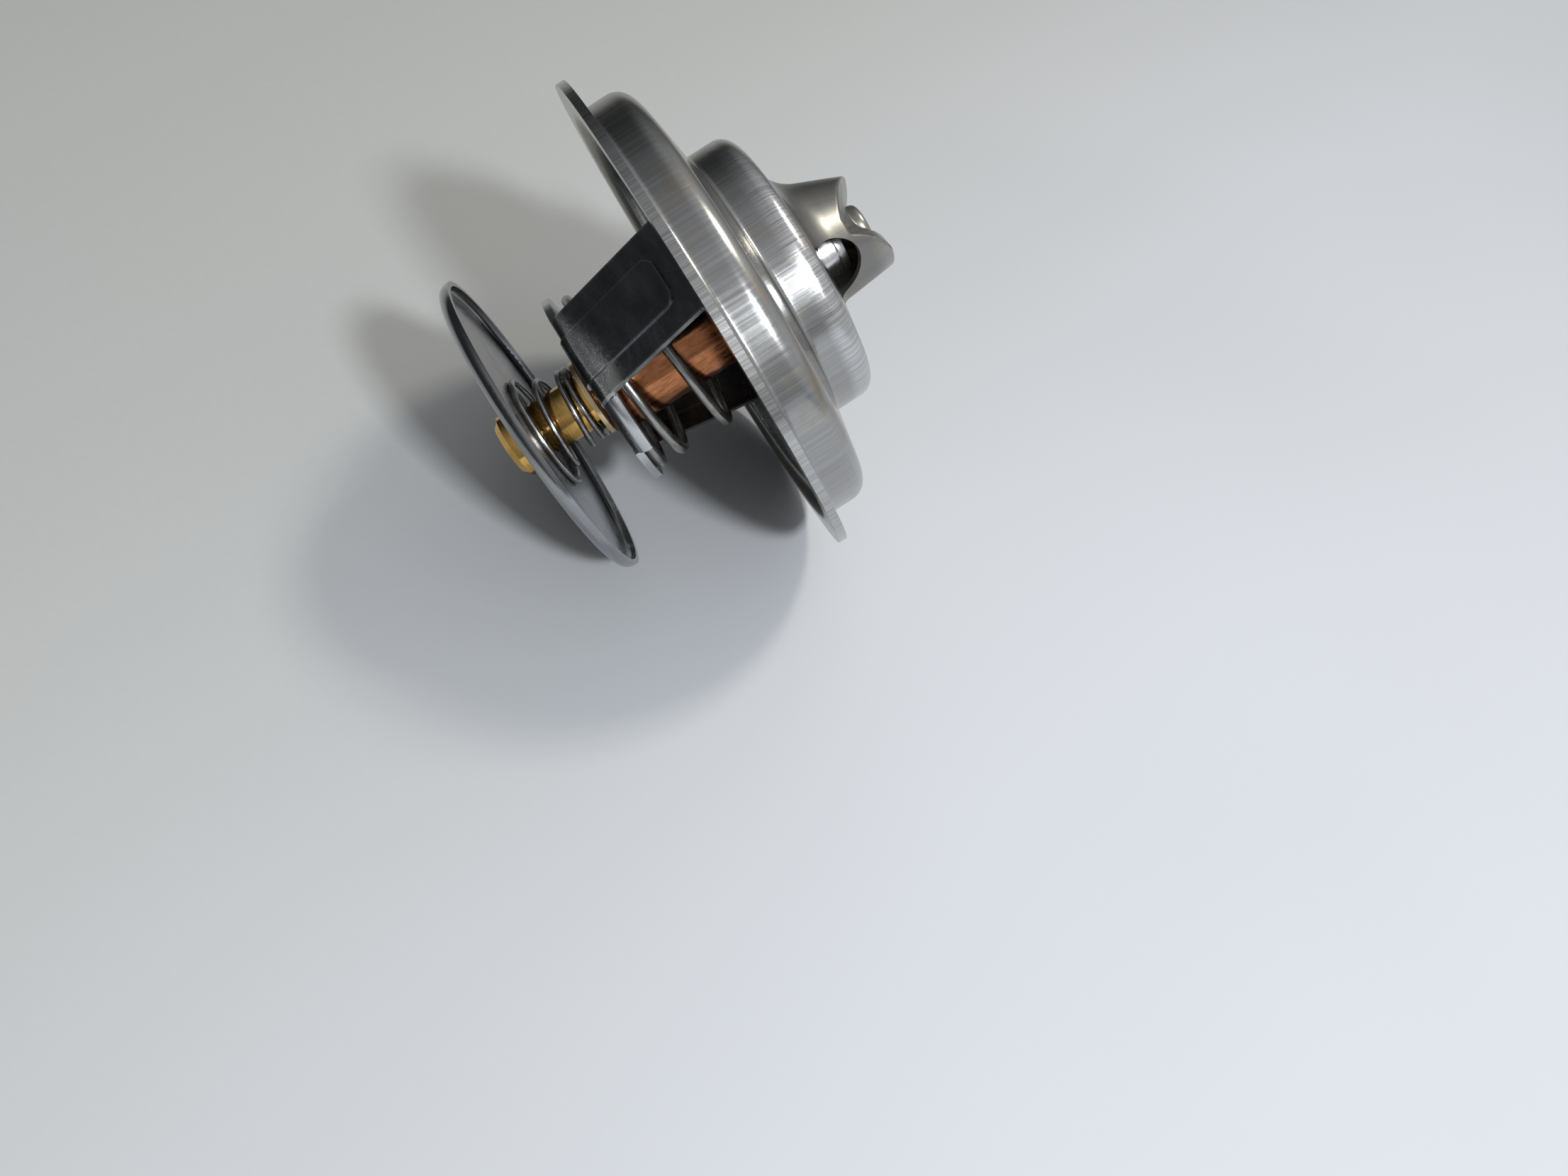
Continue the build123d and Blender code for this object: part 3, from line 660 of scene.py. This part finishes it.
def wire(name, line, wire_radius, around):
    """Round wire carried along a line: each ring is the line's point plus the wire's radius times
    (radial direction x cos + binormal x sin); both ends close on their centres."""
    tangent = np.gradient(line, axis=0)
    tangent /= np.linalg.norm(tangent, axis=1)[:, None]
    outward = line * (1, 1, 0)
    outward -= (outward * tangent).sum(1)[:, None] * tangent
    outward /= np.linalg.norm(outward, axis=1)[:, None]
    upward = np.cross(tangent, outward)
    angle = np.linspace(0, 2 * np.pi, around, endpoint=False)
    rings = (line[:, None] + wire_radius * (outward[:, None] * np.cos(angle)[None, :, None]
                                            + upward[:, None] * np.sin(angle)[None, :, None]))
    count = len(line)
    points = np.concatenate([rings.reshape(-1, 3), line[:1], line[-1:]])
    row, side = np.meshgrid(np.arange(count - 1), np.arange(around), indexing="ij")
    after = (side + 1) % around
    quads = np.stack([row * around + side, row * around + after,
                      (row + 1) * around + after, (row + 1) * around + side], -1).reshape(-1, 4)
    side = np.arange(around)
    after = (side + 1) % around
    first, last = count * around, count * around + 1
    start_cap = np.stack([np.full(around, first), after, side], -1)
    end_cap = np.stack([np.full(around, last), (count - 1) * around + side,
                        (count - 1) * around + after], -1)
    mesh = bpy.data.meshes.new(name)
    mesh.from_pydata(points, [], quads.tolist() + start_cap.tolist() + end_cap.tolist())
    smooth_faces = np.ones(len(mesh.polygons), bool)
    smooth_faces[len(quads):] = False
    mesh.polygons.foreach_set("use_smooth", smooth_faces)
    thing = bpy.data.objects.new(name, mesh)
    scene.collection.objects.link(thing)
    return thing


touch = 0.00002
tray_top = -0.01487
plate_under = 0.0124
main_wire = 0.00145
main_turns, main_closed, main_ramp = 5.5, 0.3, 1.2
main_radius, main_start = 0.01187, -120
main_foot = tray_top + main_wire / 2 + touch
main_pitch = ((plate_under - main_wire / 2 - touch - main_foot)
              / (main_turns - 2 * main_closed - main_ramp))
turn = np.linspace(0, main_turns, 620)
height = (main_foot + climb(turn, main_closed, main_ramp, main_pitch)
          - climb(turn, main_turns - main_closed - main_ramp, main_ramp, main_pitch))
angle = np.radians(main_start + 360 * turn)
coil = np.stack([main_radius * np.cos(angle), main_radius * np.sin(angle), height], -1)
main = wire("main_coil", coil, main_wire / 2, 20)
spring_steel = metal("spring_wire", light=(0.46, 0.45, 0.43), dark=(0.28, 0.272, 0.258),
                     stain=(0.27, 0.235, 0.19), share=0.45, size=3.0, around=6.0, along=1.5,
                     depth=0.12, smoothest=0.28, roughest=0.46)
main.data.materials.append(spring_steel)
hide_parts("main_spring")
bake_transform(main)

fine_wire = 0.0008
fine_turns, fine_closed, fine_last, fine_ramp = 4.3, 1.4, 3.6, 0.6
fine_radius, fine_spread, closed_gap = 0.0049, 0.0039, 1.06
stem_step, washer_sheet = -0.0169, 0.0006
pan_under, pan_sheet = -0.02595, 0.0007
fine_top = stem_step - 2 * touch - washer_sheet - fine_wire / 2
fine_foot = pan_under + pan_sheet + touch + fine_wire / 2
slow_pitch = fine_wire * closed_gap
fine_pitch = (fine_top - fine_foot - slow_pitch * fine_last) / (fine_last - fine_closed - fine_ramp)
turn = np.linspace(0, fine_turns, 430)
height = (fine_top - slow_pitch * np.minimum(turn, fine_last)
          - climb(turn, fine_closed, fine_ramp, fine_pitch)
          + climb(turn, fine_last - fine_ramp, fine_ramp, fine_pitch))
spread = (fine_radius + fine_spread
          * np.clip((turn - fine_closed) / (fine_turns - fine_closed), 0, None) ** 2)
angle = 2 * np.pi * turn
coil = np.stack([spread * np.cos(angle), spread * np.sin(angle), height], -1)
fine = wire("fine_coil", coil, fine_wire / 2, 16)
fine_steel = metal("fine_wire", light=(0.46, 0.45, 0.43), dark=(0.30, 0.29, 0.278),
                   stain=(0.32, 0.28, 0.24), share=0.4, size=2.0, around=5.0, along=2.0,
                   depth=0.10, smoothest=0.22, roughest=0.40)
fine.data.materials.append(fine_steel)
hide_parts("bypass_spring")
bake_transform(fine)
